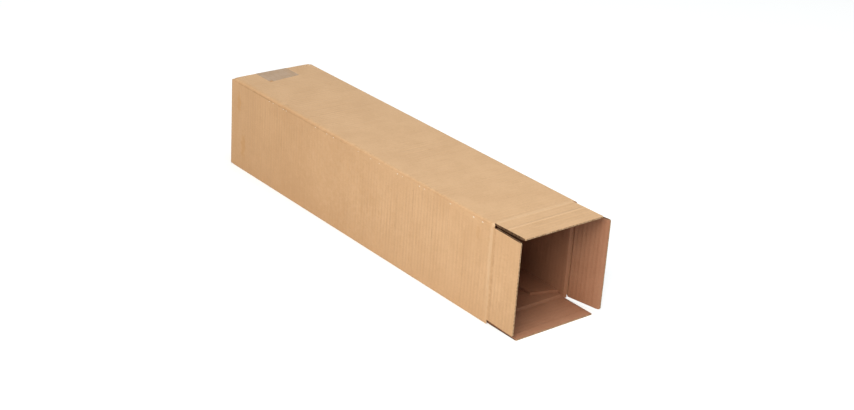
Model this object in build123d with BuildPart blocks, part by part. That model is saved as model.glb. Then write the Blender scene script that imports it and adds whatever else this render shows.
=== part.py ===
"""Square mailing tube of corrugated board: closed and taped at one end, with four flaps open at the other.

Frame: X runs along the tube towards the open end, Z is up, and the origin is the centre of the underside.
Facing the open end, the left wall is at -Y and the right wall is at +Y.
"""
import math
import os

from build123d import *

# Board and folds
board = 3.0                 # thickness of the corrugated board
fold_radius = 1.5           # outside radius of every finished fold
layer_gap = 0.5             # air between the two layers of a closed end
crease_gap = 0.3            # slit between a wall and its swinging flap, along the crease

# Tube
tube_width = 126.0          # outside, left to right
tube_height = 126.0         # outside, bottom to top
tube_length = 550.0         # closed end to the crease of the side flaps

# Flaps
flap_length = 48.0          # as cut, from crease to tip; top and bottom flaps are longer by their setback
left_flap_length = 46.5     # open side flaps, whose creases have come out a little off the score
right_flap_length = 49.5
side_flap_inset = 4.8       # cut away at each end of an open side flap, for the corner slots
left_flap_rise = 1.2        # how far each open side flap sits above the middle of its wall
right_flap_rise = -1.0
closed_flap_inset = 1.0     # inset at the closed end, where the slots have closed up
inner_flap_clearance = 0.5  # between a top or bottom flap and the walls it folds in between
flap_corner_radius = 1.5
worn_corner_radius = 2.5    # tip corners of the right flap, rounded by handling
slot_run = 1.5              # how far a corner slot runs on past the inner flaps of the closed end
top_flap_angle = 1.3        # degrees each flap stands outwards of its wall
bottom_flap_angle = 0.0
left_flap_angle = 2.0
right_flap_angle = 10.5

# Corrugation, seen on the cut edges that cross it
flute_pitch = 5.8
liner = 0.4                 # facing paper
medium = 0.35               # wavy paper, where it touches the liners
flute_web = 0.15            # half the glued foot between two neighbouring flutes
flute_tip_radius = 0.8
crushed_edge = 2.5          # flat stretch at a cut edge or a crease

# Score beads, the low ridges that creasing raises on the outer liner
bead_width = 4.4
bead_height = 0.3
bead_to_crease = 2.6        # middle of a bead to the crease of its wall
top_bead_width = 2.6        # the top wall's bead is finer
top_bead_height = 0.2
top_bead_to_crease = 1.8
second_score = 20.7         # from the top flap's crease to a spare score line across it
second_score_width = 2.6

# Dashed cuts along the top left fold, which let the board fold sharply across its flutes
fold_cut_length = 6.2
fold_cut_pitch = 8.0
fold_cut_height = 0.5
fold_cut_depth = 1.6
fold_cut_drop = 2.1         # middle of the cuts below the top

# Glue lap, on the bottom wall along the right wall
lap_width = 34.0
lap_taper = 12.0
lap_end_gap = 6.0           # between each end of the lap and the flaps
cut_edge_radius = 0.5       # worn cut edge of the bottom wall
lap_seam = 1.1              # groove where the lap turns in over that edge
flute_end_length = 4.2      # half-crushed flutes that stay open along that edge
flute_end_height = 1.4
flute_end_depth = 4.0

# Tape
tape_width = 50.0
tape_aside = 2.2            # middle of the tape, to the left of the tube's middle
tape_lap = 41.5             # reach onto the top and the underside
tape_skew = 5.0             # how much further its cut end reaches on its left side
tape_thickness = 0.12       # pressed flush into the liner

# Worked out from the sizes above
setback = board + layer_gap                 # inner flaps fold this far inside the outer ones
open_crease = tube_length / 2               # crease of the side flaps at the open end
inner_crease = open_crease - setback        # crease of the top and bottom flaps at the open end
closed_end = -tube_length / 2               # outside face of the closed end
wall_start = closed_end + setback + board + slot_run
half_width = tube_width / 2
inner_flap_length = flap_length + setback
inner_flap_width = tube_width - 2 * (board + inner_flap_clearance)
side_flap_width = tube_height - 2 * side_flap_inset
closed_flap_width = tube_height - 2 * closed_flap_inset
flute_height = board - 2 * liner - medium
flute_half_base = flute_pitch / 2 - flute_web

os.makedirs("parts", exist_ok=True)


def score_bead(middle, width, surface, rise):
    """Section of a low arched ridge: its chord on the surface line, an arc over it."""
    with BuildSketch() as bead:
        with BuildLine():
            Line((middle - width / 2, surface), (middle + width / 2, surface))
            ThreePointArc(
                (middle + width / 2, surface),
                (middle, surface + rise),
                (middle - width / 2, surface),
            )
        make_face()
    return bead.sketch


def flute_row(middle, count, base, rise):
    """Flute channels side by side: triangles with a rounded tip, standing on one liner."""
    with BuildSketch() as channel:
        with BuildLine():
            Polyline((-flute_half_base, 0), (0, rise), (flute_half_base, 0), close=True)
        make_face()
        tip = channel.vertices().sort_by_distance((0, rise))[0]
        fillet(tip, flute_tip_radius)
    with BuildSketch() as row:
        with Locations((middle, base)):
            with GridLocations(flute_pitch, 0, count, 1):
                add(channel.sketch)
    return row.sketch


def flutes(first, last):
    """Both rows of flute channels in a board's section, one row standing on each liner."""
    middle = (first + last) / 2
    count = math.floor((last - first) / flute_pitch)
    with BuildSketch() as section:
        add(flute_row(middle, count, liner, flute_height))
        add(flute_row(middle, count - 1, board - liner, -flute_height))
    return section.sketch


def make_flap(crease_plane, length, width, corner_radius=flap_corner_radius, score=None):
    """One open flap. The plane stands on the crease: x to the tip, y into the tube, z along the crease."""
    first_flute = crease_gap + board + crushed_edge / 2
    last_flute = length - crushed_edge
    with BuildPart() as flap:
        # Section of the board: mitred at the crease so that it can fold in, with its flutes
        with BuildSketch(crease_plane):
            with BuildLine():
                Polyline(
                    (crease_gap, 0),
                    (length, 0),
                    (length, board),
                    (crease_gap + board, board),
                    close=True,
                )
            make_face()
            add(flutes(first_flute, last_flute), mode=Mode.SUBTRACT)
            if score:
                add(score_bead(score, second_score_width, 0, -bead_height))
        extrude(amount=width / 2, both=True)
        # Rounded tip corners
        face_plane = Plane(crease_plane.origin, x_dir=crease_plane.x_dir, z_dir=crease_plane.y_dir)
        with BuildSketch(face_plane.offset(-board)) as outline:
            with Locations((length / 2, 0)):
                Rectangle(length, width)
            tip_corners = outline.vertices().group_by(Axis.X)[-1]
            fillet(tip_corners, corner_radius)
        extrude(amount=3 * board, mode=Mode.INTERSECT)
    return flap


def crease_plane(crease, outward, along, rest_angle):
    """Plane on a crease, leaning outwards of the wall by the rest angle."""
    lean = math.radians(rest_angle)
    to_tip = Vector(1, 0, 0) * math.cos(lean) + Vector(outward) * math.sin(lean)
    return Plane(origin=crease, x_dir=to_tip, z_dir=along)


# Tape: a thin strip from the top, over the closed end, to the underside
with BuildPart() as end_tape:
    with BuildSketch(Plane.XZ.offset(tape_aside)):
        with BuildLine():
            for depth in (0, tape_thickness):
                top_start = (closed_end + tape_lap, tube_height - depth)
                top_turn = (closed_end + closed_flap_inset, tube_height - depth)
                upper_edge = (closed_end + depth, tube_height - closed_flap_inset)
                lower_edge = (closed_end + depth, closed_flap_inset)
                bottom_turn = (closed_end + closed_flap_inset, depth)
                bottom_end = (closed_end + tape_lap, depth)
                Line(top_start, top_turn)
                TangentArc(top_turn, upper_edge, tangent=(-1, 0))
                Line(upper_edge, lower_edge)
                TangentArc(bottom_turn, lower_edge, tangent=(-1, 0))
                Line(bottom_turn, bottom_end)
            Line((closed_end + tape_lap, tube_height), (closed_end + tape_lap, tube_height - tape_thickness))
            Line((closed_end + tape_lap, 0), (closed_end + tape_lap, tape_thickness))
        make_face()
    extrude(amount=tape_width / 2, both=True)
    # Its end on the top is cut askew
    tape_left = -tape_aside - tape_width / 2
    tape_right = tape_left + tape_width
    with BuildSketch(Plane.XY.offset(tube_height - board)):
        with BuildLine():
            Polyline(
                (closed_end + tape_lap, tape_left),
                (closed_end + tape_lap, tape_right),
                (closed_end + tape_lap - tape_skew, tape_right),
                close=True,
            )
        make_face()
    extrude(amount=2 * board, mode=Mode.SUBTRACT)

# Right side flap of the closed end, which lies outside, with the fold that joins it to the side wall
with BuildPart() as closed_flap:
    with BuildSketch(Plane.XY.offset(closed_flap_inset)) as side_section:
        with BuildLine():
            Polyline(
                (wall_start, half_width),
                (closed_end, half_width),
                (closed_end, half_width - flap_length),
                (closed_end + board, half_width - flap_length),
                (closed_end + board, half_width - board),
                (wall_start, half_width - board),
                close=True,
            )
        make_face()
        fold = side_section.vertices().sort_by_distance((closed_end, half_width))[0]
        fillet(fold, fold_radius)
    extrude(amount=closed_flap_width)
    fold_edge = (closed_end, half_width, tube_height / 2)
    with BuildSketch(Plane(fold_edge, x_dir=(0, -1, 0), z_dir=(0, 0, 1))):
        add(flutes(fold_radius + crushed_edge, flap_length - crushed_edge))
    extrude(amount=closed_flap_width / 2, both=True, mode=Mode.SUBTRACT)

# Body: walls, closed flaps and glue lap, folded from one sheet
with BuildPart() as tube_body:
    # Four walls, with three folded edges and one where the sheet's cut edge meets the lap
    with BuildSketch(Plane.YZ.offset(wall_start)) as walls:
        with Locations((0, tube_height / 2)):
            Rectangle(tube_width, tube_height)
        cut_corner = (half_width, 0)
        folded_corners = walls.vertices().sort_by_distance(cut_corner)[1:]
        fillet(folded_corners, fold_radius)
        cut_edge = walls.vertices().sort_by_distance(cut_corner)[0]
        fillet(cut_edge, cut_edge_radius)
        with Locations((0, tube_height / 2)):
            Rectangle(tube_width - 2 * board, tube_height - 2 * board, mode=Mode.SUBTRACT)
        seam_mouth = (half_width, board + lap_seam)
        seam_root = (half_width - lap_seam, board)
        turn = lap_seam * (1 - math.sqrt(0.5))
        with BuildLine():
            Polyline(seam_mouth, (half_width, board), seam_root)
            ThreePointArc(seam_root, (half_width - turn, board + turn), seam_mouth)
        make_face(mode=Mode.SUBTRACT)
    extrude(amount=open_crease - wall_start)

    # Dashed cuts just below the top left fold
    edge_start = wall_start + crushed_edge
    edge_stop = inner_crease - crushed_edge
    edge_middle = (edge_start + edge_stop) / 2
    fold_cut_level = tube_height - fold_cut_drop
    fold_cut_count = math.floor((edge_stop - edge_start) / fold_cut_pitch)
    with BuildSketch(Plane((edge_middle, -half_width, fold_cut_level), x_dir=(1, 0, 0), z_dir=(0, 1, 0))):
        with GridLocations(fold_cut_pitch, 0, fold_cut_count, 1):
            Rectangle(fold_cut_length, fold_cut_height)
    extrude(amount=fold_cut_depth, mode=Mode.SUBTRACT)

    # Flute ends along the cut edge of the bottom wall
    flute_end_count = math.floor((edge_stop - edge_start) / flute_pitch)
    with BuildSketch(Plane((edge_middle, half_width, board / 2), x_dir=(1, 0, 0), z_dir=(0, -1, 0))):
        with BuildSketch(mode=Mode.PRIVATE) as flute_end:
            with BuildLine():
                Polyline(
                    (-flute_end_length / 2, 0),
                    (0, flute_end_height / 2),
                    (flute_end_length / 2, 0),
                    (0, -flute_end_height / 2),
                    close=True,
                )
            make_face()
        with GridLocations(flute_pitch, 0, flute_end_count, 1):
            add(flute_end.sketch)
    extrude(amount=flute_end_depth, mode=Mode.SUBTRACT)

    # Open end: the top and bottom walls stop at their own crease, and the folds run on to the side creases
    with BuildSketch(Plane.YZ.offset(inner_crease)):
        for level in (board / 2, tube_height - board / 2):
            with Locations((0, level)):
                Rectangle(tube_width - 2 * board, board)
    extrude(amount=setback, mode=Mode.SUBTRACT)

    # Open end: each wall is mitred inside its crease
    with BuildSketch(Plane.XY):
        with BuildLine():
            Polyline(
                (open_crease, half_width),
                (open_crease, half_width - board),
                (open_crease - board, half_width - board),
                close=True,
            )
        make_face()
        mirror(about=Plane.XZ)
    extrude(amount=tube_height, mode=Mode.SUBTRACT)
    with BuildSketch(Plane.XZ):
        for outer, inner in ((0, board), (tube_height, tube_height - board)):
            with BuildLine():
                Polyline(
                    (inner_crease, outer),
                    (inner_crease, inner),
                    (inner_crease - board, inner),
                    close=True,
                )
            make_face()
    extrude(amount=half_width - board, both=True, mode=Mode.SUBTRACT)

    # Closed end: the side flaps lie outside
    add(closed_flap.part)
    add(closed_flap.part.mirror(Plane.XZ))

    # Closed end: the top and bottom flaps lie behind them
    with BuildSketch(Plane.XZ):
        fold_line = closed_end + setback
        for edge, inwards in ((0, 1), (tube_height, -1)):
            with BuildSketch(mode=Mode.PRIVATE) as inner_flap:
                with BuildLine():
                    Polyline(
                        (wall_start, edge),
                        (fold_line, edge),
                        (fold_line, edge + inwards * inner_flap_length),
                        (fold_line + board, edge + inwards * inner_flap_length),
                        (fold_line + board, edge + inwards * board),
                        (wall_start, edge + inwards * board),
                        close=True,
                    )
                make_face()
                fold = inner_flap.vertices().sort_by_distance((fold_line, edge))[0]
                fillet(fold, fold_radius)
            add(inner_flap.sketch)
    extrude(amount=inner_flap_width / 2, both=True)

    # Glue lap, a tapered strip on the inside of the bottom wall
    lap_side = half_width - board
    lap_start = closed_end + setback + board + lap_end_gap
    lap_end = inner_crease - board - lap_end_gap
    with BuildSketch(Plane.XY.offset(board)):
        with BuildLine():
            Polyline(
                (lap_start, lap_side),
                (lap_end, lap_side),
                (lap_end - lap_taper, lap_side - lap_width),
                (lap_start + lap_taper, lap_side - lap_width),
                close=True,
            )
        make_face()
    extrude(amount=board)

    # Score beads along the creases of the side walls and the top wall
    with BuildSketch(Plane.XY.offset(side_flap_inset)):
        add(score_bead(open_crease - bead_to_crease, bead_width, half_width, bead_height))
        mirror(about=Plane.XZ)
    extrude(amount=side_flap_width)
    with BuildSketch(Plane.XZ):
        add(score_bead(inner_crease - top_bead_to_crease, top_bead_width, tube_height, top_bead_height))
    extrude(amount=inner_flap_width / 2, both=True)

    # The tape is pressed flush into the liner
    add(end_tape.part, mode=Mode.SUBTRACT)

# Open flaps, each on its own crease
top_crease = crease_plane((inner_crease, 0, tube_height), (0, 0, 1), (0, 1, 0), top_flap_angle)
bottom_crease = crease_plane((inner_crease, 0, 0), (0, 0, -1), (0, -1, 0), bottom_flap_angle)
left_middle = (open_crease, -half_width, tube_height / 2 + left_flap_rise)
right_middle = (open_crease, half_width, tube_height / 2 + right_flap_rise)
left_crease = crease_plane(left_middle, (0, -1, 0), (0, 0, 1), left_flap_angle)
right_crease = crease_plane(right_middle, (0, 1, 0), (0, 0, -1), right_flap_angle)
top_flap = make_flap(top_crease, inner_flap_length, inner_flap_width, score=second_score)
bottom_flap = make_flap(bottom_crease, inner_flap_length, inner_flap_width)
left_flap = make_flap(left_crease, left_flap_length, side_flap_width)
right_flap = make_flap(right_crease, right_flap_length, side_flap_width, corner_radius=worn_corner_radius)

pieces = {
    "tube_body": tube_body,
    "top_flap": top_flap,
    "bottom_flap": bottom_flap,
    "left_flap": left_flap,
    "right_flap": right_flap,
    "end_tape": end_tape,
}
for name, piece in pieces.items():
    piece.part.label = name
    export_step(piece.part, f"parts/{name}.step")
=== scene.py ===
"""Looks of a square mailing tube of corrugated kraft board, lying on one side with its four flaps open.

Frame: X runs along the tube to the open end, Z is up, and the origin is the centre of the underside.
Each board node is shown by a copy of its own mesh, cut finer, with frayed cut edges and paper finishes.
"""
import math

import bmesh
import bpy
from mathutils import Matrix, Vector, noise


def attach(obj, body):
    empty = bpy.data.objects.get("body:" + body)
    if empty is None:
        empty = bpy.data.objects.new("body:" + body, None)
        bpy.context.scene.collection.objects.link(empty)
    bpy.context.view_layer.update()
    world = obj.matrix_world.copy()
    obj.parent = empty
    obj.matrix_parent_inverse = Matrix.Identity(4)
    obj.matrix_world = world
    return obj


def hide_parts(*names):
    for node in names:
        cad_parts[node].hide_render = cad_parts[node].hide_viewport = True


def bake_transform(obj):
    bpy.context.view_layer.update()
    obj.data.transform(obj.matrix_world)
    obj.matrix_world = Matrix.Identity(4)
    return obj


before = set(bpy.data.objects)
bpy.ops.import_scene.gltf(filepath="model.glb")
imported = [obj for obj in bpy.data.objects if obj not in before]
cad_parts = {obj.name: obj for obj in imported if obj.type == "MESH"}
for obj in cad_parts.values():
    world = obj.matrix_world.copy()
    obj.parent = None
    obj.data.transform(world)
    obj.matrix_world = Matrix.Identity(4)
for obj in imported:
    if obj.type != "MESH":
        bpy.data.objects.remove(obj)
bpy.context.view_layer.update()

MM = 0.001

# Board and tube, as the part has them
BOARD = 3.0 * MM
LAYER_GAP = 0.5 * MM
FOLD_RADIUS = 1.5 * MM
FLUTE_PITCH = 5.8 * MM
HALF_WIDTH = 63.0 * MM
HEIGHT = 126.0 * MM
HALF_HEIGHT = HEIGHT / 2
CLOSED_END = -275.0 * MM
SIDE_CREASE = 275.0 * MM
INNER_CREASE = SIDE_CREASE - BOARD - LAYER_GAP
INNER_FLAP_LENGTH = 51.5 * MM
INNER_FLAP_WIDTH = 119.0 * MM
LEFT_FLAP_LENGTH = 46.5 * MM
RIGHT_FLAP_LENGTH = 49.5 * MM
SIDE_FLAP_WIDTH = 116.4 * MM
LEFT_FLAP_RISE = 1.2 * MM
RIGHT_FLAP_RISE = -1.0 * MM
SECOND_SCORE = 20.7 * MM
TAPE_LEFT = -27.2 * MM
TAPE_RIGHT = 22.8 * MM
TAPE_START = CLOSED_END + 41.5 * MM

# How far each flap leans out of its wall at rest, in degrees
TOP_LEAN = 1.3
BOTTOM_LEAN = 0.0
LEFT_LEAN = 2.0
RIGHT_LEAN = 10.5

# Mesh work: joining, sharp edges, and where the pieces are cut finer
MERGE_DISTANCE = 0.001 * MM
FLAT_ANGLE = math.radians(0.5)
SHARP_ANGLE = math.radians(28)
TUBE_CUT_REACH = 264.0 * MM
TUBE_CUT_STEP = 12.0 * MM
WALL_CUT_REACH = 54.0 * MM
WALL_CUT_STEP = 13.5 * MM
FLAP_CUT_START = 8.0 * MM
FLAP_CUT_END = 5.0 * MM
FLAP_CUT_STEP = 7.0 * MM
TIP_CUTS = (2.0 * MM, 1.0 * MM, 0.4 * MM)
SIDE_CUT_MARGIN = 1.5 * MM
SIDE_CUT_STEP = 2.4 * MM
SIDE_CUT_OUTER = 0.8 * MM
TAPE_CUT_STEP = 3.0 * MM
TAPE_FIRST_CUT = 4.0 * MM
TAPE_LAST_CUT = 1.0 * MM
TAPE_SIDE_CUT = 2.0 * MM
TAPE_END_CUT_REACH = 56.0 * MM
TAPE_END_CUT_STEP = 4.0 * MM

# Depths below the outer face that tell one paper of the board from another
TUBE_SKIN = 0.32 * MM
CUT_EDGE_SKIN = 0.5 * MM
TUBE_LINING = 2.8 * MM
FLAP_SKIN = 0.2 * MM
FLAP_TIP = 1.5 * MM
OUTER_LAYER_MARGIN = 0.1 * MM
MITRE_REACH = 1.2 * BOARD

# How squarely a face looks along a direction, as a part of its normal
FACING_FULLY = 0.9
FACING_MOSTLY = 0.8
FACING_PARTLY = 0.5

# How the walls have settled
WALL_SAG = 0.5 * MM
SIDE_WALL_SAG = 0.5 * WALL_SAG
WALL_RIPPLE = 0.12 * MM
RIPPLE_SCALE = 19
WALL_ZONE = 0.9

# How the cut edges of the flaps have frayed, and been crushed
TIP_FRAY = 0.35 * MM
TIP_FRAY_REACH = 1.6 * MM
TIP_CRUSH = 0.42
TIP_CRUSH_REACH = 5.0 * MM
SIDE_FRAY = 0.18 * MM
SIDE_FRAY_REACH = 0.6 * MM
TIP_TEAR_SCALE = 260
TIP_LAYER_SCALE = 500
FINE_TEAR = 0.35
FINE_TEAR_SCALE = 2.7
SIDE_TEAR_SCALE = 300
SIDE_LAYER_SCALE = 400
SIDE_TEAR_SEED = 5
FLAP_SEED_STEP = 11.0
FLOOR_CRUSH = 0.55
FLOOR_CRUSH_REACH = 4.0 * MM

# Wrinkles of the tape
TAPE_WRINKLE = 0.06 * MM
TAPE_WAVES_ALONG = 60
TAPE_WAVES_ACROSS = 190
TAPE_TOP_START = 1.0 * MM

# The upper edge and corners of the closed end, pressed down
END_PRESS = 2.0 * MM
END_PRESS_START = 4.4 * MM
END_PRESS_FULL = 1.0 * MM
EDGE_BAND_LOW = 5.0 * MM
EDGE_BAND_HIGH = 1.0 * MM
FOLD_HOLD = 0.6
FOLD_HOLD_START = 6.0 * MM
FOLD_HOLD_FULL = 3.0 * MM
CORNER_PRESS = 1.3 * MM
CORNER_REACH = 8.0 * MM
CORNER_WIDTH = 14.0 * MM
CORNER_CURVE = 1.5

# The top left fold, rubbed rounder, and its dashed cuts, closed up
WORN_FOLD = 3.0 * MM
CUT_DEPTH = 0.3 * MM
CUT_LOW = 0.4 * MM
CUT_HIGH = 1.4 * MM
CUT_REACH = 2.0 * MM

# The outer liner where it bridges a crease
LINER_REACH = 2.4 * MM
LINER_THICKNESS = 0.1 * MM
LINER_START = 0.04 * MM
LINER_RISE = 0.20 * MM
FLOOR_LINER_START = -0.16 * MM
LINER_MARGIN = 1.0 * MM
LINER_WANDER = 0.04 * MM
LINER_WANDER_ALONG = 140
LINER_WANDER_OVER = 3
LINER_WANDER_SEED = 7

# Torn tufts on the top left fold: their level, shape and roughness
TORN_LEVEL = 121.5 * MM
TUFT_SINK = 0.05 * MM
TUFT_LENGTH = 1.5
TUFT_DEPTH = 0.45 * MM
TUFT_HEIGHT = 0.62
TUFT_SPREAD = 0.25
TUFT_TURN = 0.5
TUFT_ROUGHNESS = 0.12 * MM
TUFT_ROUGHNESS_SCALE = 1800
TUFT_SEED = 5

AXIS_X = Vector((1, 0, 0))
AXIS_Y = Vector((0, 1, 0))
AXIS_Z = Vector((0, 0, 1))


def smooth_step(value, low, high):
    """0 below low, 1 above high, and an easy curve between them."""
    share = min(max((value - low) / (high - low), 0.0), 1.0)
    return share * share * (3 - 2 * share)


def spread(start, stop, step):
    """Places from start to stop, about a step apart and evenly spaced."""
    count = max(1, round((stop - start) / step))
    return [start + (stop - start) * i / count for i in range(count + 1)]


class FlapFrame:
    """Directions of one flap at rest: along its crease, out to its tip, and out of its outer face."""

    def __init__(self, crease, outward, along, lean, length, width):
        turn = math.radians(lean)
        self.crease = Vector(crease)
        self.wall_out = Vector(outward)
        self.along = Vector(along)
        self.to_tip = AXIS_X * math.cos(turn) + self.wall_out * math.sin(turn)
        self.out = self.wall_out * math.cos(turn) - AXIS_X * math.sin(turn)
        self.length = length
        self.width = width

    def measure(self, point):
        """Distance out from the crease, place along it, and depth below the outer face."""
        offset = point - self.crease
        return offset.dot(self.to_tip), offset.dot(self.along), -offset.dot(self.out)

    def place(self, reach, aside, rise):
        """A point over the outer face of the flap, or over its wall behind the crease."""
        if reach < 0:
            return self.crease + AXIS_X * reach + self.along * aside + self.wall_out * rise
        return self.crease + self.to_tip * reach + self.along * aside + self.out * rise


TOP_MIDDLE = (INNER_CREASE, 0, HEIGHT)
BOTTOM_MIDDLE = (INNER_CREASE, 0, 0)
LEFT_MIDDLE = (SIDE_CREASE, -HALF_WIDTH, HALF_HEIGHT + LEFT_FLAP_RISE)
RIGHT_MIDDLE = (SIDE_CREASE, HALF_WIDTH, HALF_HEIGHT + RIGHT_FLAP_RISE)
INNER_SIZE = (INNER_FLAP_LENGTH, INNER_FLAP_WIDTH)
LEFT_SIZE = (LEFT_FLAP_LENGTH, SIDE_FLAP_WIDTH)
RIGHT_SIZE = (RIGHT_FLAP_LENGTH, SIDE_FLAP_WIDTH)
FLAPS = {
    "top_flap": FlapFrame(TOP_MIDDLE, AXIS_Z, AXIS_Y, TOP_LEAN, *INNER_SIZE),
    "bottom_flap": FlapFrame(BOTTOM_MIDDLE, -AXIS_Z, -AXIS_Y, BOTTOM_LEAN, *INNER_SIZE),
    "left_flap": FlapFrame(LEFT_MIDDLE, -AXIS_Y, AXIS_Z, LEFT_LEAN, *LEFT_SIZE),
    "right_flap": FlapFrame(RIGHT_MIDDLE, AXIS_Y, -AXIS_Z, RIGHT_LEAN, *RIGHT_SIZE),
}


# Shader building


def add_node(tree, kind, inputs=None, **settings):
    """One node, with its own properties as settings.

    Inputs are plain values, or the sockets that feed the node.
    """
    node = tree.nodes.new(kind)
    for name, value in settings.items():
        setattr(node, name, value)
    for name, value in (inputs or {}).items():
        if isinstance(value, bpy.types.NodeSocket):
            tree.links.new(value, node.inputs[name])
        else:
            node.inputs[name].default_value = value
    return node


def maths(tree, operation, *values, clamp=False):
    """The result of one Math node."""
    inputs = dict(enumerate(values))
    node = add_node(tree, "ShaderNodeMath", inputs, operation=operation, use_clamp=clamp)
    return node.outputs[0]


def vector_maths(tree, operation, *values):
    """The result of one Vector Math node that gives a vector."""
    inputs = dict(enumerate(values))
    return add_node(tree, "ShaderNodeVectorMath", inputs, operation=operation).outputs[0]


def remap(tree, value, low, high, to_low=0.0, to_high=1.0):
    """A value eased from one range to another."""
    inputs = {0: value, 1: low, 2: high, 3: to_low, 4: to_high}
    return add_node(tree, "ShaderNodeMapRange", inputs, interpolation_type="SMOOTHSTEP").outputs[0]


def mix_colours(tree, share, first, second):
    """Two colours mixed by a share."""
    inputs = {0: share, 6: first, 7: second}
    return add_node(tree, "ShaderNodeMix", inputs, data_type="RGBA").outputs[2]


def noise_value(tree, vector, scale, detail=2.0, roughness=0.5):
    """The value of a noise texture."""
    inputs = {"Vector": vector, "Scale": scale, "Detail": detail, "Roughness": roughness}
    return add_node(tree, "ShaderNodeTexNoise", inputs).outputs[0]


def weigh(tree, first, first_share, second, second_share):
    """Two values added up, each by its own share."""
    first_part = maths(tree, "MULTIPLY", first, first_share)
    second_part = maths(tree, "MULTIPLY", second, second_share)
    return maths(tree, "ADD", first_part, second_part)


def start_group(name, inputs, outputs):
    """An empty shader group with named sockets, and its two end nodes."""
    tree = bpy.data.node_groups.new(name, "ShaderNodeTree")
    for socket, kind in inputs.items():
        tree.interface.new_socket(socket, in_out="INPUT", socket_type=kind)
    for socket, kind in outputs.items():
        tree.interface.new_socket(socket, in_out="OUTPUT", socket_type=kind)
    return tree, tree.nodes.new("NodeGroupInput").outputs, tree.nodes.new("NodeGroupOutput").inputs


def use_group(tree, group, inputs):
    """A group placed in a material, with its inputs."""
    return add_node(tree, "ShaderNodeGroup", inputs, node_tree=group).outputs


# How the patterns of the paper and the tape are drawn out along X, Y and Z
FIBRE_LAY = (0.35, 1.0, 1.0)
FLUTE_LAY = (1.0, 0.06, 0.06)
TAPE_LAY = (0.12, 1.0, 0.12)


def make_paper_group():
    """Unbleached paper: cloudy tone, fibres that lie along X, and small dark flecks."""
    tree, given, result = start_group(
        "kraft_paper",
        {"Vector": "NodeSocketVector"},
        {"Tone": "NodeSocketFloat", "Fibre": "NodeSocketFloat", "Fleck": "NodeSocketFloat"},
    )
    place = given["Vector"]
    cloud = noise_value(tree, place, scale=24.0, detail=4.0, roughness=0.62)
    lay = vector_maths(tree, "MULTIPLY", place, FIBRE_LAY)
    fibre = noise_value(tree, lay, scale=620.0, detail=3.0, roughness=0.65)
    fleck = noise_value(tree, place, scale=480.0, detail=1.0, roughness=0.4)
    tone = weigh(tree, cloud, 0.6, fibre, 0.4)
    tree.links.new(remap(tree, tone, low=0.36, high=0.64), result["Tone"])
    tree.links.new(fibre, result["Fibre"])
    tree.links.new(remap(tree, fleck, low=0.69, high=0.76), result["Fleck"])
    return tree


def make_washboard_group():
    """Ridges of the liner over the flutes, stronger in some places than in others."""
    tree, given, result = start_group(
        "washboard",
        {"Vector": "NodeSocketVector", "Across": "NodeSocketFloat"},
        {"Ridge": "NodeSocketFloat"},
    )
    turn = maths(tree, "MULTIPLY", given["Across"], 2 * math.pi / FLUTE_PITCH)
    wave = maths(tree, "SINE", turn)
    patches = noise_value(tree, given["Vector"], scale=11.0)
    strength = remap(tree, patches, low=0.35, high=0.68, to_low=0.35)
    drawn_out = vector_maths(tree, "MULTIPLY", given["Vector"], FLUTE_LAY)
    single_flutes = noise_value(tree, drawn_out, scale=150.0, detail=1.0)
    single = remap(tree, single_flutes, low=0.32, high=0.68, to_low=-0.9, to_high=0.9)
    ridge = maths(tree, "ADD", wave, single)
    tree.links.new(maths(tree, "MULTIPLY", ridge, strength), result["Ridge"])
    return tree


def make_spot_group():
    """A soft spot of a given centre and reach, with a broken edge."""
    tree, given, result = start_group(
        "soft_spot",
        {"Vector": "NodeSocketVector", "Centre": "NodeSocketVector", "Reach": "NodeSocketVector"},
        {"Mask": "NodeSocketFloat"},
    )
    offset = vector_maths(tree, "SUBTRACT", given["Vector"], given["Centre"])
    share = vector_maths(tree, "DIVIDE", offset, given["Reach"])
    radius = add_node(tree, "ShaderNodeVectorMath", {0: share}, operation="LENGTH").outputs["Value"]
    broken = noise_value(tree, given["Vector"], scale=160.0, detail=3.0, roughness=0.6)
    wander = remap(tree, broken, low=0.3, high=0.7, to_low=-0.25, to_high=0.25)
    edge = maths(tree, "ADD", radius, wander)
    tree.links.new(remap(tree, edge, low=0.35, high=1.0, to_low=1.0, to_high=0.0), result["Mask"])
    return tree


PAPER = make_paper_group()
WASHBOARD = make_washboard_group()
SPOT = make_spot_group()


def spot_mask(tree, place, centre, reach):
    """How far each place lies inside one soft spot."""
    return use_group(tree, SPOT, {"Vector": place, "Centre": centre, "Reach": reach})["Mask"]


def start_material(name):
    """An empty material, its tree, its shader and the object coordinates."""
    material = bpy.data.materials.new(name)
    material.use_nodes = True
    tree = material.node_tree
    tree.nodes.clear()
    shader = add_node(tree, "ShaderNodeBsdfPrincipled")
    add_node(tree, "ShaderNodeOutputMaterial", {"Surface": shader.outputs[0]})
    place = add_node(tree, "ShaderNodeTexCoord").outputs["Object"]
    return material, tree, shader, place


# Paper and cut board
FLECK_BROWN = (0.20, 0.11, 0.05, 1.0)
FLECK_STRENGTH = 0.16
RIDGE_PAINTED_HIGHLIGHT = 0.3
FIBRE_HEIGHT = 0.05 * MM
PAPER_SPECULAR = 0.45
RAW_EDGE_BUMP = 0.35 * MM
RAW_EDGE_ROUGHNESS = 0.9
RAW_EDGE_SPECULAR = 0.2


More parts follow.
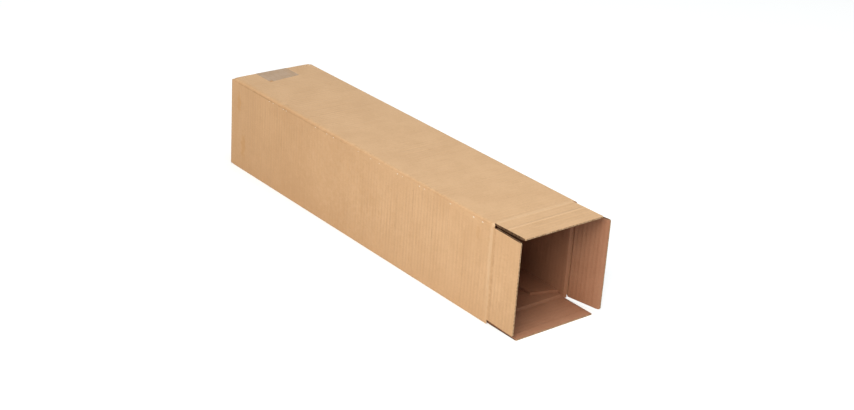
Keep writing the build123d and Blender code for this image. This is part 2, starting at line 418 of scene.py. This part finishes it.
def make_kraft(name, deep, pale, flute_axis, ridge_height, marks=(), lines=()):
    """Kraft liner, paler on its washboard ridges as a painted highlight. Marks tint a soft spot, and
    lines raise or press in a thin stripe of it.
    """
    material, tree, shader, place = start_material(name)
    paper = use_group(tree, PAPER, {"Vector": place})
    across = add_node(tree, "ShaderNodeSeparateXYZ", {0: place}).outputs[flute_axis]
    ridge = use_group(tree, WASHBOARD, {"Vector": place, "Across": across})["Ridge"]
    colour = mix_colours(tree, paper["Tone"], deep, pale)
    # Painted highlight: the colour is paler on the washboard ridges
    shade = remap(tree, ridge, low=-1.0, high=1.0, to_high=RIDGE_PAINTED_HIGHLIGHT)
    colour = mix_colours(tree, shade, colour, pale)
    fleck = maths(tree, "MULTIPLY", paper["Fleck"], FLECK_STRENGTH)
    colour = mix_colours(tree, fleck, colour, FLECK_BROWN)
    for centre, reach, tint, strength in marks:
        mask = spot_mask(tree, place, centre, reach)
        colour = mix_colours(tree, maths(tree, "MULTIPLY", mask, strength), colour, tint)
    tree.links.new(colour, shader.inputs["Base Color"])
    height = maths(tree, "MULTIPLY", ridge, ridge_height)
    height = maths(tree, "ADD", height, maths(tree, "MULTIPLY", paper["Fibre"], FIBRE_HEIGHT))
    for centre, reach, rise in lines:
        mask = spot_mask(tree, place, centre, reach)
        height = maths(tree, "ADD", height, maths(tree, "MULTIPLY", mask, rise))
    bump = add_node(tree, "ShaderNodeBump", {"Strength": 1.0, "Distance": 1.0, "Height": height})
    tree.links.new(bump.outputs[0], shader.inputs["Normal"])
    roughness = remap(tree, paper["Tone"], low=0.0, high=1.0, to_low=0.66, to_high=0.78)
    tree.links.new(roughness, shader.inputs["Roughness"])
    shader.inputs["Specular IOR Level"].default_value = PAPER_SPECULAR
    return material


def make_raw_edge(name, deep, pale):
    """Cut board: loose fibres, with patches of shade between them."""
    material, tree, shader, place = start_material(name)
    coarse = noise_value(tree, place, scale=420.0, detail=4.0, roughness=0.7)
    fine = noise_value(tree, place, scale=1900.0, detail=2.0, roughness=0.6)
    tone = weigh(tree, coarse, 0.65, fine, 0.35)
    colour = mix_colours(tree, remap(tree, tone, low=0.38, high=0.60), deep, pale)
    tree.links.new(colour, shader.inputs["Base Color"])
    bump_inputs = {"Strength": 0.8, "Distance": RAW_EDGE_BUMP, "Height": tone}
    bump = add_node(tree, "ShaderNodeBump", bump_inputs)
    tree.links.new(bump.outputs[0], shader.inputs["Normal"])
    shader.inputs["Roughness"].default_value = RAW_EDGE_ROUGHNESS
    shader.inputs["Specular IOR Level"].default_value = RAW_EDGE_SPECULAR
    return material


# Tape film, and its turned-over corner
TAPE_DEEP = (0.560, 0.374, 0.226, 1.0)
TAPE_PALE = (0.580, 0.390, 0.242, 1.0)
TAPE_CORNER = (0.46, 0.20, 0.045, 1.0)
TAPE_CORNER_PLACE = (TAPE_START - 1.2 * MM, TAPE_LEFT + 1.8 * MM, HEIGHT)
TAPE_CORNER_REACH = (5.0 * MM, 4.6 * MM, 9.0 * MM)
TAPE_BUMP = 0.05 * MM
TAPE_IOR = 1.47


def make_tape_film():
    """Hazy packing tape: lighter where it has not wetted the paper, browner at its turned-over corner."""
    material, tree, shader, place = start_material("hazy_tape")
    patches = noise_value(tree, place, scale=75.0, detail=5.0, roughness=0.6)
    drawn_out = vector_maths(tree, "MULTIPLY", place, TAPE_LAY)
    streaks = noise_value(tree, drawn_out, scale=420.0, detail=3.0, roughness=0.6)
    haze = weigh(tree, patches, 0.6, streaks, 0.4)
    colour = mix_colours(tree, remap(tree, haze, low=0.35, high=0.65), TAPE_DEEP, TAPE_PALE)
    turned = spot_mask(tree, place, TAPE_CORNER_PLACE, TAPE_CORNER_REACH)
    colour = mix_colours(tree, turned, colour, TAPE_CORNER)
    tree.links.new(colour, shader.inputs["Base Color"])
    cover = remap(tree, haze, low=0.35, high=0.65, to_low=0.68, to_high=0.76)
    tree.links.new(maths(tree, "MAXIMUM", cover, turned), shader.inputs["Alpha"])
    roughness = remap(tree, patches, low=0.3, high=0.7, to_low=0.48, to_high=0.36)
    tree.links.new(roughness, shader.inputs["Roughness"])
    bump_inputs = {"Strength": 0.4, "Distance": TAPE_BUMP, "Height": haze}
    bump = add_node(tree, "ShaderNodeBump", bump_inputs)
    tree.links.new(bump.outputs[0], shader.inputs["Normal"])
    shader.inputs["IOR"].default_value = TAPE_IOR
    return material


def left_wall(along, level):
    """A point on the outer face of the left wall, from millimetres."""
    return (along * MM, -HALF_WIDTH, level * MM)


# Kraft tints: paler for rubbed liner with a painted highlight, darker for painted shade
KRAFT_RUB_AND_HIGHLIGHT = (0.76, 0.53, 0.325, 1.0)
KRAFT_SHADED = (0.42, 0.235, 0.11, 1.0)

# Marks on the left wall, its top fold and the left flap: centre, reach, tint, strength; real stains, and
# painted shade
BROWN_STAIN_AND_SHADE = (0.50, 0.24, 0.075, 1.0)
ORANGE_STAIN = (0.57, 0.27, 0.06, 1.0)
FOLD_SHADE = (0.33, 0.165, 0.06, 1.0)
FOLD_RIM = (190 * MM, -62.3 * MM, 125.3 * MM)
WALL_MARKS = [
    (left_wall(-255, 95), (6.5 * MM, 9 * MM, 18 * MM), ORANGE_STAIN, 0.30),
    (left_wall(-243.5, 36), (7.0 * MM, 9 * MM, 24 * MM), ORANGE_STAIN, 0.32),
    (left_wall(-262, 60), (9 * MM, 9 * MM, 60 * MM), BROWN_STAIN_AND_SHADE, 0.10),
    # Painted shade: the wall browner and darker over its far half, toward the closed end
    (left_wall(-300, 63), (420 * MM, 9 * MM, 900 * MM), BROWN_STAIN_AND_SHADE, 0.17),
    (left_wall(248.5, 108), (4.5 * MM, 9 * MM, 11 * MM), BROWN_STAIN_AND_SHADE, 0.15),
    (left_wall(268, 105), (1.8 * MM, 9 * MM, 4 * MM), BROWN_STAIN_AND_SHADE, 0.22),
    # Painted shade: darker low on the left flap, along the bottom of the wall, and high up near the open
    # end
    (left_wall(304, 12), (34 * MM, 9 * MM, 46 * MM), KRAFT_SHADED, 0.10),
    (left_wall(70, 0), (620 * MM, 9 * MM, 72 * MM), KRAFT_SHADED, 0.10),
    (left_wall(258, 100), (14 * MM, 9 * MM, 66 * MM), KRAFT_SHADED, 0.09),
    # Painted shadow: a dark line in the groove under the top fold, over the far half
    (left_wall(-212, 122.8), (72 * MM, 4 * MM, 1.1 * MM), FOLD_SHADE, 0.40),
    (left_wall(-105, 122.3), (120 * MM, 4 * MM, 1.1 * MM), FOLD_SHADE, 0.26),
    # Painted shade over the rounded top fold, to dim the light its rim catches
    (FOLD_RIM, (260 * MM, 2.8 * MM, 2.8 * MM), KRAFT_SHADED, 0.15),
]
# Creases and score lines, pale on their ridges, where the liner is rubbed and a highlight is painted, and
# painted shade beside them
TOP_SCORE = INNER_CREASE + SECOND_SCORE
CREASE_MARKS = [
    (left_wall(270.6, 90), (3.6 * MM, 3 * MM, 70 * MM), KRAFT_RUB_AND_HIGHLIGHT, 0.42),
    (left_wall(272.8, 20), (2.6 * MM, 3 * MM, 60 * MM), KRAFT_RUB_AND_HIGHLIGHT, 0.26),
    (left_wall(276.0, 90), (2.8 * MM, 4 * MM, 90 * MM), KRAFT_SHADED, 0.36),
    (left_wall(278.0, 20), (3.0 * MM, 4 * MM, 80 * MM), KRAFT_SHADED, 0.28),
    ((INNER_CREASE + 0.8 * MM, 0, HEIGHT), (3.6 * MM, 400 * MM, 4 * MM), KRAFT_RUB_AND_HIGHLIGHT, 0.30),
    ((INNER_CREASE + 5.4 * MM, 45 * MM, HEIGHT), (2.6 * MM, 60 * MM, 4 * MM), KRAFT_SHADED, 0.10),
    ((TOP_SCORE + 0.6 * MM, 0, HEIGHT), (2.8 * MM, 400 * MM, 4 * MM), KRAFT_RUB_AND_HIGHLIGHT, 0.20),
    ((TOP_SCORE + 4.4 * MM, 0, HEIGHT), (2.8 * MM, 400 * MM, 4 * MM), KRAFT_SHADED, 0.14),
]
# Flutes of the left wall that have given a little: centre, reach, rise
WALL_LINES = [
    (left_wall(130, 100), (1.7 * MM, 5 * MM, 40 * MM), 0.34 * MM),
    (left_wall(165.5, 88), (1.7 * MM, 5 * MM, 48 * MM), -0.34 * MM),
    (left_wall(195.5, 92), (1.7 * MM, 5 * MM, 46 * MM), 0.36 * MM),
    (left_wall(95, 70), (1.7 * MM, 5 * MM, 60 * MM), -0.18 * MM),
    (left_wall(58, 82), (1.7 * MM, 5 * MM, 50 * MM), 0.18 * MM),
    (left_wall(225, 70), (1.9 * MM, 5 * MM, 60 * MM), -0.08 * MM),
]
OUTSIDE_MARKS = WALL_MARKS + CREASE_MARKS

# Deep and pale tone of each finish, and the height of the ridges over the flutes
KRAFT_DEEP = (0.595, 0.362, 0.188, 1.0)
KRAFT_PALE = (0.675, 0.428, 0.238, 1.0)
# Inner liner: darker and redder than the outer liner, as painted shade of the inside of the tube
INSIDE_SHADED_DEEP = (0.36, 0.165, 0.090, 1.0)
INSIDE_SHADED_PALE = (0.42, 0.205, 0.119, 1.0)
CUT_DEEP = (0.25, 0.135, 0.065, 1.0)
CUT_PALE = (0.66, 0.45, 0.27, 1.0)
# Flute hollows: near black, as painted shade of the open flutes
FLUTE_SHADE_DEEP = (0.11, 0.06, 0.032, 1.0)
FLUTE_SHADE_PALE = (0.24, 0.14, 0.075, 1.0)
TORN_DEEP = (0.82, 0.70, 0.54, 1.0)
TORN_PALE = (0.95, 0.90, 0.82, 1.0)
OUTSIDE_RIDGE = 0.125 * MM
END_RIDGE = 0.10 * MM
INSIDE_RIDGE = 0.08 * MM

kraft_outside = make_kraft(
    "kraft_outside", KRAFT_DEEP, KRAFT_PALE, "X", OUTSIDE_RIDGE, OUTSIDE_MARKS, WALL_LINES
)
kraft_end = make_kraft("kraft_end", KRAFT_DEEP, KRAFT_PALE, "Y", END_RIDGE)
kraft_inside_painted_shade = make_kraft("kraft_inside_painted_shade", INSIDE_SHADED_DEEP, INSIDE_SHADED_PALE, "X", INSIDE_RIDGE)
raw_edge = make_raw_edge("cut_board", CUT_DEEP, CUT_PALE)
flute_paper_painted_shade = make_raw_edge("flute_paper_painted_shade", FLUTE_SHADE_DEEP, FLUTE_SHADE_PALE)
torn_fibre = make_raw_edge("torn_fibre", TORN_DEEP, TORN_PALE)
tape_film = make_tape_film()

BOARD_FINISHES = [kraft_outside, kraft_inside_painted_shade, raw_edge, flute_paper_painted_shade, kraft_end]
OUTSIDE, INSIDE, EDGE, FLUTE, END = range(len(BOARD_FINISHES))


# Mesh building


def copy_node(node_name):
    """A node's mesh to work on, with its loose triangles joined and its flat faces made whole."""
    sheet = bmesh.new()
    sheet.from_mesh(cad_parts[node_name].data)
    bmesh.ops.remove_doubles(sheet, verts=sheet.verts, dist=MERGE_DISTANCE)
    bmesh.ops.dissolve_limit(sheet, angle_limit=FLAT_ANGLE, verts=sheet.verts, edges=sheet.edges)
    return sheet


def cut_across(sheet, origin, direction, places):
    """Cuts a mesh square to a direction, at each of the places along it."""
    for reach in places:
        bmesh.ops.bisect_plane(
            sheet,
            geom=sheet.verts[:] + sheet.edges[:] + sheet.faces[:],
            dist=MERGE_DISTANCE,
            plane_co=origin + direction * reach,
            plane_no=direction,
        )


def finish_piece(sheet, name, finishes):
    """The finished mesh as an object at the origin, smooth except at its sharp edges."""
    for face in sheet.faces:
        face.smooth = True
    mesh = bpy.data.meshes.new(name)
    sheet.to_mesh(mesh)
    sheet.free()
    if "custom_normal" in mesh.attributes:
        mesh.attributes.remove(mesh.attributes["custom_normal"])
    for finish in finishes:
        mesh.materials.append(finish)
    mesh.set_sharp_from_angle(angle=SHARP_ANGLE)
    piece = bpy.data.objects.new(name, mesh)
    bpy.context.scene.collection.objects.link(piece)
    return piece


def box_depth(point, end):
    """How far a point lies below the outer face of a tube with rounded folds, closed at the given end."""
    reach = (
        end + FOLD_RADIUS - point.x,
        abs(point.y) - (HALF_WIDTH - FOLD_RADIUS),
        abs(point.z - HALF_HEIGHT) - (HALF_HEIGHT - FOLD_RADIUS),
    )
    outside = Vector([max(part, 0.0) for part in reach]).length
    return FOLD_RADIUS - outside - min(max(reach), 0.0)


def tube_finish(face):
    """Which paper a face of the tube shows."""
    point = face.calc_center_median()
    outer_layer = point.x < CLOSED_END + BOARD + LAYER_GAP / 2
    end = CLOSED_END if outer_layer else CLOSED_END + BOARD + LAYER_GAP
    depth = box_depth(point, end)
    on_cut_edge = face.normal.y > FACING_FULLY and point.z < BOARD and point.y > 0
    if on_cut_edge and depth < CUT_EDGE_SKIN:
        return EDGE
    if depth < TUBE_SKIN:
        return END if face.normal.x < -FACING_MOSTLY else OUTSIDE
    slanted = FACING_PARTLY < face.normal.x < FACING_FULLY
    on_mitre = slanted and point.x > INNER_CREASE - BOARD
    if depth > TUBE_LINING or on_mitre:
        return INSIDE
    in_flute = abs(face.normal.z) < FACING_PARTLY and point.x < CLOSED_END + BOARD
    in_fold_cut = point.y < 0 and HEIGHT - BOARD < point.z and point.x < INNER_CREASE
    if in_fold_cut:
        return OUTSIDE
    return FLUTE if in_flute else EDGE


def wall_settling(point):
    """How far the walls have sagged in between their folds, and rippled, at a point."""
    lengthwise = 1 - (point.x / SIDE_CREASE) ** 2
    across = abs(point.y) / HALF_WIDTH
    upright = abs(point.z - HALF_HEIGHT) / HALF_HEIGHT
    ripple = WALL_RIPPLE * noise.noise(point * RIPPLE_SCALE)
    move = Vector((0, 0, 0))
    if upright > WALL_ZONE and point.z > HALF_HEIGHT:
        move.z = (ripple - WALL_SAG * lengthwise) * max(0.0, 1 - across ** 2)
    if across > WALL_ZONE:
        sag = (ripple - SIDE_WALL_SAG * lengthwise) * max(0.0, 1 - upright ** 2)
        move.y = math.copysign(sag, sag * point.y)
    return move


def end_pressing(point, drop):
    """How far the upper edge of the closed end is pressed down behind the top fold, at a point."""
    behind = smooth_step(CLOSED_END - point.x, -END_PRESS_START, -END_PRESS_FULL)
    upper = smooth_step(point.z, HEIGHT - EDGE_BAND_LOW, HEIGHT - EDGE_BAND_HIGH)
    aside = abs(point.y)
    beside = smooth_step(aside, HALF_WIDTH - FOLD_HOLD_START, HALF_WIDTH - FOLD_HOLD_FULL)
    end_drop = drop * behind * (1 - FOLD_HOLD * beside)
    to_corner = min(max((CLOSED_END + CORNER_REACH - point.x) / CORNER_REACH, 0.0), 1.0)
    near_corner = smooth_step(aside, HALF_WIDTH - CORNER_WIDTH, HALF_WIDTH)
    corner_drop = CORNER_PRESS * to_corner ** CORNER_CURVE * near_corner
    return Vector((0, 0, -upper * (end_drop + corner_drop)))


def fold_rubbing(point):
    """How the top left fold is rubbed rounder, and its dashed cuts are closed up, at a point."""
    aside = -point.y - (HALF_WIDTH - WORN_FOLD)
    above = point.z - (HEIGHT - WORN_FOLD)
    closed_up = WORN_FOLD - CUT_DEPTH
    in_cut = CUT_LOW < above < CUT_HIGH and WORN_FOLD - CUT_REACH < aside < closed_up
    if in_cut and abs(point.x) < INNER_CREASE - BOARD:
        return Vector((0, aside - closed_up, 0))
    from_middle = math.hypot(aside, above)
    if min(aside, above) <= 0 or from_middle <= WORN_FOLD:
        return Vector((0, 0, 0))
    inwards = 1 - WORN_FOLD / from_middle
    return Vector((0, aside * inwards, -above * inwards))


def make_tube_board():
    """The tube itself, with sagging walls, a rubbed top left fold and a pressed-down closed end."""
    sheet = copy_node("tube_body")
    origin = Vector((0, 0, HALF_HEIGHT))
    cut_across(sheet, origin, AXIS_X, spread(-TUBE_CUT_REACH, TUBE_CUT_REACH, TUBE_CUT_STEP))
    cut_across(sheet, origin, AXIS_Y, spread(-WALL_CUT_REACH, WALL_CUT_REACH, WALL_CUT_STEP))
    cut_across(sheet, origin, AXIS_Z, spread(-WALL_CUT_REACH, WALL_CUT_REACH, WALL_CUT_STEP))
    cut_across(sheet, origin, AXIS_Y, [WORN_FOLD - HALF_WIDTH])
    cut_across(sheet, origin, AXIS_Z, [HALF_HEIGHT - WORN_FOLD])
    for face in sheet.faces:
        face.material_index = tube_finish(face)
    for vert in sheet.verts:
        in_outer_layer = vert.co.x < CLOSED_END + BOARD + OUTER_LAYER_MARGIN
        drop = END_PRESS if in_outer_layer else 0.0
        vert.co += fold_rubbing(vert.co)
        vert.co += wall_settling(vert.co) + end_pressing(vert.co, drop)
    piece = finish_piece(sheet, "tube_board", BOARD_FINISHES)
    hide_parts("tube_body")
    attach(piece, "tube")


def flap_finish(flap, face):
    """Which paper a face of a flap shows."""
    reach, _, depth = flap.measure(face.calc_center_median())
    if depth < FLAP_SKIN:
        return OUTSIDE
    on_mitre = face.normal.dot(flap.to_tip) < -FACING_PARTLY and reach < MITRE_REACH
    if depth > BOARD - FLAP_SKIN or on_mitre:
        return INSIDE
    at_tip = reach > flap.length - FLAP_TIP
    return EDGE if at_tip else FLUTE


def fray(flap, point, seed):
    """How a point near a flap's cut edges is pinched and frayed."""
    reach, aside, depth = flap.measure(point)
    at_tip = smooth_step(reach, flap.length - TIP_FRAY_REACH, flap.length)
    crushed = smooth_step(reach, flap.length - TIP_CRUSH_REACH, flap.length)
    at_side = smooth_step(abs(aside), flap.width / 2 - SIDE_FRAY_REACH, flap.width / 2)
    tip_place = Vector((aside * TIP_TEAR_SCALE, depth * TIP_LAYER_SCALE, seed))
    torn = 0.5 + 0.5 * noise.noise(tip_place) + FINE_TEAR * noise.noise(tip_place * FINE_TEAR_SCALE)
    side_place = Vector((reach * SIDE_TEAR_SCALE, depth * SIDE_LAYER_SCALE, seed + SIDE_TEAR_SEED))
    nibbled = 0.5 + 0.5 * noise.noise(side_place)
    move = flap.to_tip * (-at_tip * TIP_FRAY * max(torn, 0.0))
    move -= flap.along * math.copysign(at_side * SIDE_FRAY * nibbled, aside)
    pressed = crushed * TIP_CRUSH
    if flap.wall_out.z < 0:
        side = smooth_step(abs(aside), flap.width / 2 - FLOOR_CRUSH_REACH, flap.width / 2)
        pressed = max(pressed, side * FLOOR_CRUSH)
    move += flap.out * (pressed * max(depth, 0.0))
    return move


def make_flap_board(name, seed):
    """One flap, with a frayed tip and sides."""
    flap = FLAPS[name]
    sheet = copy_node(name)
    tip = flap.length
    lengthwise = spread(FLAP_CUT_START, tip - FLAP_CUT_END, FLAP_CUT_STEP)
    cut_across(sheet, flap.crease, flap.to_tip, lengthwise)
    cut_across(sheet, flap.crease, flap.to_tip, [tip - back for back in TIP_CUTS])
    edge = flap.width / 2 - SIDE_CUT_MARGIN
    cut_across(sheet, flap.crease, flap.along, spread(-edge, edge, SIDE_CUT_STEP))
    cut_across(sheet, flap.crease, flap.along, [-edge - SIDE_CUT_OUTER, edge + SIDE_CUT_OUTER])
    for face in sheet.faces:
        face.material_index = flap_finish(flap, face)
    for vert in sheet.verts:
        vert.co += fray(flap, vert.co, seed)
    piece = finish_piece(sheet, f"{name}_board", BOARD_FINISHES)
    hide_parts(name)
    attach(piece, name)


def make_crease_liner(name):
    """The outer liner where it runs on over a crease, from the wall to the flap."""
    flap = FLAPS[name]
    on_floor = flap.wall_out.z < 0
    low = FLOOR_LINER_START if on_floor else LINER_START
    high = 0.0 if on_floor else LINER_RISE
    strip = bmesh.new()
    bmesh.ops.create_grid(strip, x_segments=10, y_segments=40, size=0.5)
    for vert in strip.verts:
        share = vert.co.x + 0.5
        reach = share * 2 * LINER_REACH - LINER_REACH
        aside = vert.co.y * (flap.width - LINER_MARGIN)
        spot = Vector((aside * LINER_WANDER_ALONG, share * LINER_WANDER_OVER, LINER_WANDER_SEED))
        wander = LINER_WANDER * noise.noise(spot)
        rise = low + high * math.sin(math.pi * share) + wander
        vert.co = flap.place(reach, aside, rise)
    bmesh.ops.recalc_face_normals(strip, faces=strip.faces)
    middle = strip.faces[:][len(strip.faces) // 2]
    if middle.normal.dot(flap.wall_out) < 0:
        bmesh.ops.reverse_faces(strip, faces=strip.faces)
    bmesh.ops.solidify(strip, geom=strip.faces[:], thickness=LINER_THICKNESS)
    piece = finish_piece(strip, f"{name}_crease_liner", [kraft_outside])
    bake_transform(piece)


def make_tape():
    """The tape over the closed end, with small wrinkles."""
    sheet = copy_node("end_tape")
    origin = Vector((0, 0, HALF_HEIGHT))
    lengthwise = spread(CLOSED_END + TAPE_FIRST_CUT, TAPE_START - TAPE_LAST_CUT, TAPE_CUT_STEP)
    crosswise = spread(TAPE_LEFT + TAPE_SIDE_CUT, TAPE_RIGHT - TAPE_SIDE_CUT, TAPE_CUT_STEP)
    upright = spread(-TAPE_END_CUT_REACH, TAPE_END_CUT_REACH, TAPE_END_CUT_STEP)
    cut_across(sheet, origin, AXIS_X, lengthwise)
    cut_across(sheet, origin, AXIS_Y, crosswise)
    cut_across(sheet, origin, AXIS_Z, upright)
    for vert in sheet.verts:
        point = vert.co.copy()
        wave_x = point.x * TAPE_WAVES_ALONG
        wave_y = point.y * TAPE_WAVES_ACROSS
        wave_z = point.z * TAPE_WAVES_ALONG
        wrinkle = TAPE_WRINKLE * max(0.0, noise.noise(Vector((wave_x, wave_y, wave_z))))
        lift = Vector((0, 0, 0))
        if point.z > HALF_HEIGHT and point.x > CLOSED_END + TAPE_TOP_START:
            lift.z = wrinkle
        vert.co += wall_settling(point) + end_pressing(point, END_PRESS) + lift
    piece = finish_piece(sheet, "tape_film", [tape_film])
    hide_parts("end_tape")
    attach(piece, "tube")


# Tufts of torn liner along the top left fold: place in millimetres, size
TORN_TUFTS = [
    (-181.9, 0.66), (-172.3, 0.66), (-148.7, 0.68), (-141.7, 0.66), (-75.3, 0.66), (-50.1, 0.66),
    (-35.6, 0.48), (17.0, 0.52), (42.5, 0.52), (60.0, 0.58), (96.5, 0.66), (106.2, 0.48),
    (139.1, 0.54), (148.5, 0.68), (196.9, 0.80), (238.6, 0.90), (254.4, 0.88),
]


def make_torn_fibres():
    """Small tufts of pale torn paper along the dashed cuts."""
    tufts = bmesh.new()
    for number, (along, usual_size) in enumerate(TORN_TUFTS):
        size = usual_size + TUFT_SPREAD * noise.noise(Vector((number * 1.7, 3, 1)))
        tilt = TUFT_TURN * noise.noise(Vector((number * 2.3, 9, 4)))
        place = Matrix.Translation((along * MM, -HALF_WIDTH + TUFT_SINK, TORN_LEVEL))
        turn = Matrix.Rotation(tilt, 4, "Y")
        shape = Matrix.Diagonal((TUFT_LENGTH * size * MM, TUFT_DEPTH, TUFT_HEIGHT * size * MM, 1))
        bmesh.ops.create_icosphere(tufts, subdivisions=2, radius=1.0, matrix=place @ turn @ shape)
    noise.seed_set(TUFT_SEED)
    for vert in tufts.verts:
        vert.co += TUFT_ROUGHNESS * noise.noise_vector(vert.co * TUFT_ROUGHNESS_SCALE)
    piece = finish_piece(tufts, "torn_fold_fibres", [torn_fibre])
    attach(piece, "tube")


make_tube_board()
for flap_number, flap_name in enumerate(FLAPS):
    make_flap_board(flap_name, FLAP_SEED_STEP * flap_number)
    make_crease_liner(flap_name)
make_tape()
make_torn_fibres()


# Floor, light and camera

FLOOR_HALF_SIZE = 6.0
FLOOR_COLOUR = (0.70, 0.70, 0.70, 1.0)
FLOOR_GLOW = 0.52
SKY_LIGHT = 0.36
AIM = Vector((0.05, 0.0, 0.06))
KEY_PLACE = (1.05, -1.55, 1.35)
KEY_SIZE = 1.2
KEY_POWER = 38.0
KEY_COLOUR = (1.0, 0.94, 0.84)
TOP_PLACE = (0.6, 0.5, 2.4)
TOP_SIZE = 1.8
TOP_POWER = 22.5
TOP_COLOUR = (0.80, 0.93, 1.0)
CAMERA_PLACE = (1.4538, -1.1528, 0.8632)
CAMERA_AZIMUTH = 49.9985
CAMERA_ELEVATION = 24.1346
CAMERA_ROLL = 3.9427
CAMERA_LENS = 66.747
SENSOR_WIDTH = 36.0


def seen_directly(tree):
    """1 for what the camera sees, straight or in a reflection, and 0 for light that falls on things."""
    path = add_node(tree, "ShaderNodeLightPath").outputs
    seen = maths(tree, "ADD", path["Is Camera Ray"], path["Is Glossy Ray"], clamp=True)
    return maths(tree, "ADD", seen, path["Is Transmission Ray"], clamp=True)


def make_floor():
    """A plain pale floor that fades to white and keeps the shadow."""
    sheet = bmesh.new()
    bmesh.ops.create_grid(sheet, x_segments=2, y_segments=2, size=FLOOR_HALF_SIZE)
    mesh = bpy.data.meshes.new("floor")
    sheet.to_mesh(mesh)
    sheet.free()
    material, tree, shader, _ = start_material("pale_floor")
    shader.inputs["Base Color"].default_value = FLOOR_COLOUR
    shader.inputs["Roughness"].default_value = 1.0
    shader.inputs["Specular IOR Level"].default_value = 0.0
    shader.inputs["Emission Color"].default_value = (1, 1, 1, 1)
    glow = maths(tree, "MULTIPLY", seen_directly(tree), FLOOR_GLOW)
    tree.links.new(glow, shader.inputs["Emission Strength"])
    mesh.materials.append(material)
    floor = bpy.data.objects.new("floor", mesh)
    bpy.context.scene.collection.objects.link(floor)


def make_sky():
    """Even white light from all round, seen as white."""
    world = bpy.data.worlds.new("studio")
    world.use_nodes = True
    tree = world.node_tree
    tree.nodes.clear()
    strength = maths(tree, "MAXIMUM", seen_directly(tree), SKY_LIGHT)
    sky = add_node(tree, "ShaderNodeBackground", {"Color": (1, 1, 1, 1), "Strength": strength})
    add_node(tree, "ShaderNodeOutputWorld", {"Surface": sky.outputs[0]})
    bpy.context.scene.world = world


def make_softbox(name, place, size, power, colour):
    """A square area lamp aimed at the tube."""
    lamp = bpy.data.lights.new(name, "AREA")
    lamp.size = size
    lamp.energy = power
    lamp.color = colour
    softbox = bpy.data.objects.new(name, lamp)
    softbox.location = place
    softbox.rotation_euler = (AIM - Vector(place)).to_track_quat("-Z", "Y").to_euler()
    bpy.context.scene.collection.objects.link(softbox)


def make_camera(place, azimuth, elevation, roll, lens):
    """The camera at the photograph's viewing angle."""
    around, lift, twist = (math.radians(angle) for angle in (azimuth, elevation, roll))
    flat = math.cos(lift)
    back = Vector((math.sin(around) * flat, -math.cos(around) * flat, math.sin(lift)))
    level = Vector((math.cos(around), math.sin(around), 0))
    upright = back.cross(level)
    right = level * math.cos(twist) + upright * math.sin(twist)
    up = back.cross(right)
    camera = bpy.data.cameras.new("photo_camera")
    camera.sensor_width = SENSOR_WIDTH
    camera.lens = lens
    holder = bpy.data.objects.new("photo_camera", camera)
    turned = Matrix((right, up, back)).transposed().to_4x4()
    holder.matrix_world = Matrix.Translation(place) @ turned
    bpy.context.scene.collection.objects.link(holder)
    bpy.context.scene.camera = holder


make_floor()
make_sky()
make_softbox("key_softbox", KEY_PLACE, KEY_SIZE, KEY_POWER, KEY_COLOUR)
make_softbox("top_softbox", TOP_PLACE, TOP_SIZE, TOP_POWER, TOP_COLOUR)
make_camera(CAMERA_PLACE, CAMERA_AZIMUTH, CAMERA_ELEVATION, CAMERA_ROLL, CAMERA_LENS)
bpy.context.scene.view_settings.view_transform = "Standard"
